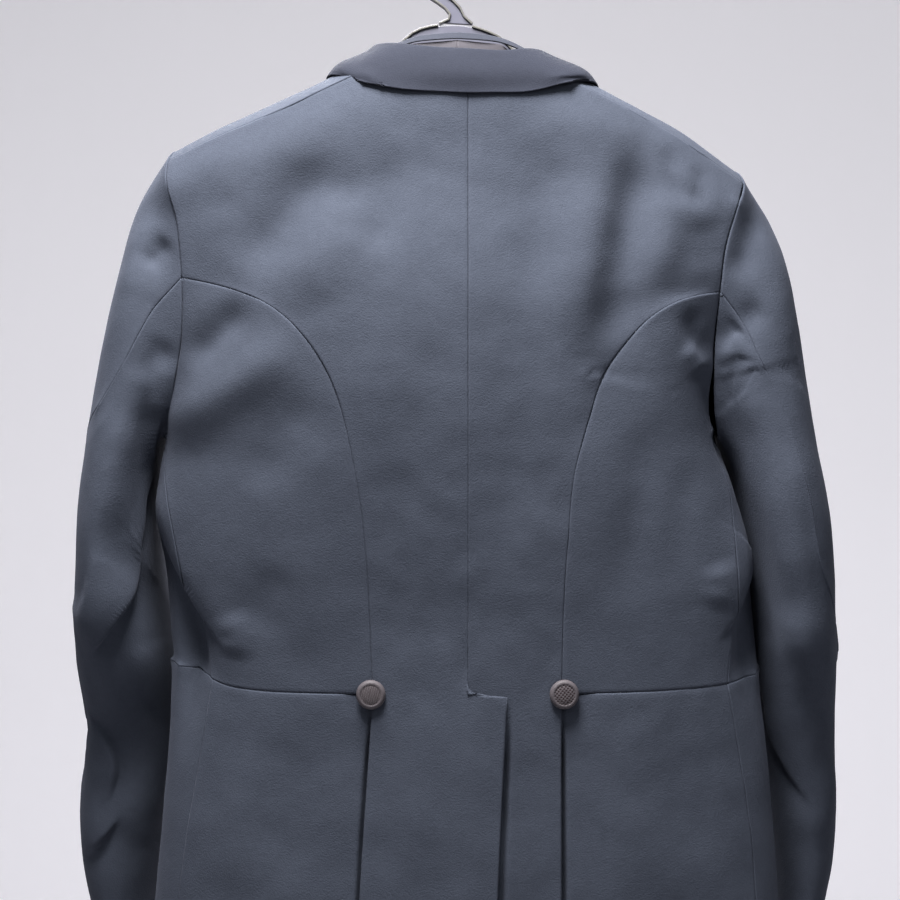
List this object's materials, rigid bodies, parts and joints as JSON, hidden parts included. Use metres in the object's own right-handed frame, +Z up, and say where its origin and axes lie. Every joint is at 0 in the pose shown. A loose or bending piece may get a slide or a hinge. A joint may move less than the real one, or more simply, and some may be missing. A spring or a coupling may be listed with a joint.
{
  "type": "morning suit coat with waistcoat on a hanger",
  "caption": "Dark wool cutaway tailcoat over a matching waistcoat, hanging from a moulded hanger with a hook, for display or wear",
  "frame": {"origin": "inside top of the hanger's hook, where a rail or peg holds the part", "axes": "+Z up, -Y towards the fronts, +Y towards the backs, +X towards the wearer's left"},
  "size_m": [0.6173, 0.2302, 1.1473],
  "materials": {
    "coat_wool": "fine matte worsted wool",
    "collar_wool": "fine matte worsted wool",
    "waistcoat_wool": "fine matte worsted wool",
    "waistcoat_satin": "satin lining cloth",
    "covered_button": "woven cloth over a button mould",
    "hanger_plastic": "moulded, satin"
  },
  "bodies": {
    "root": {"back_button_left": "covered_button", "back_button_right": "covered_button", "back_left": "coat_wool", "back_right": "coat_wool", "collar": "collar_wool", "forepart_left": "coat_wool", "forepart_right": "coat_wool", "front_button": "covered_button", "hanger": "hanger_plastic", "lapel_left": "collar_wool", "lapel_right": "collar_wool", "sidebody_left": "coat_wool", "sidebody_right": "coat_wool", "skirt_back_left": "coat_wool", "skirt_back_right": "coat_wool", "skirt_front_left": "coat_wool", "skirt_front_right": "coat_wool", "top_sleeve_left": "coat_wool", "top_sleeve_right": "coat_wool", "under_sleeve_left": "coat_wool", "under_sleeve_right": "coat_wool", "waistcoat_back_left": "waistcoat_satin", "waistcoat_back_right": "waistcoat_satin", "waistcoat_button_1": "covered_button", "waistcoat_button_2": "covered_button", "waistcoat_button_3": "covered_button", "waistcoat_button_4": "covered_button", "waistcoat_front_left": "waistcoat_wool", "waistcoat_front_right": "waistcoat_wool", "waistcoat_neckband": "waistcoat_wool"}
  },
  "joints": []
}
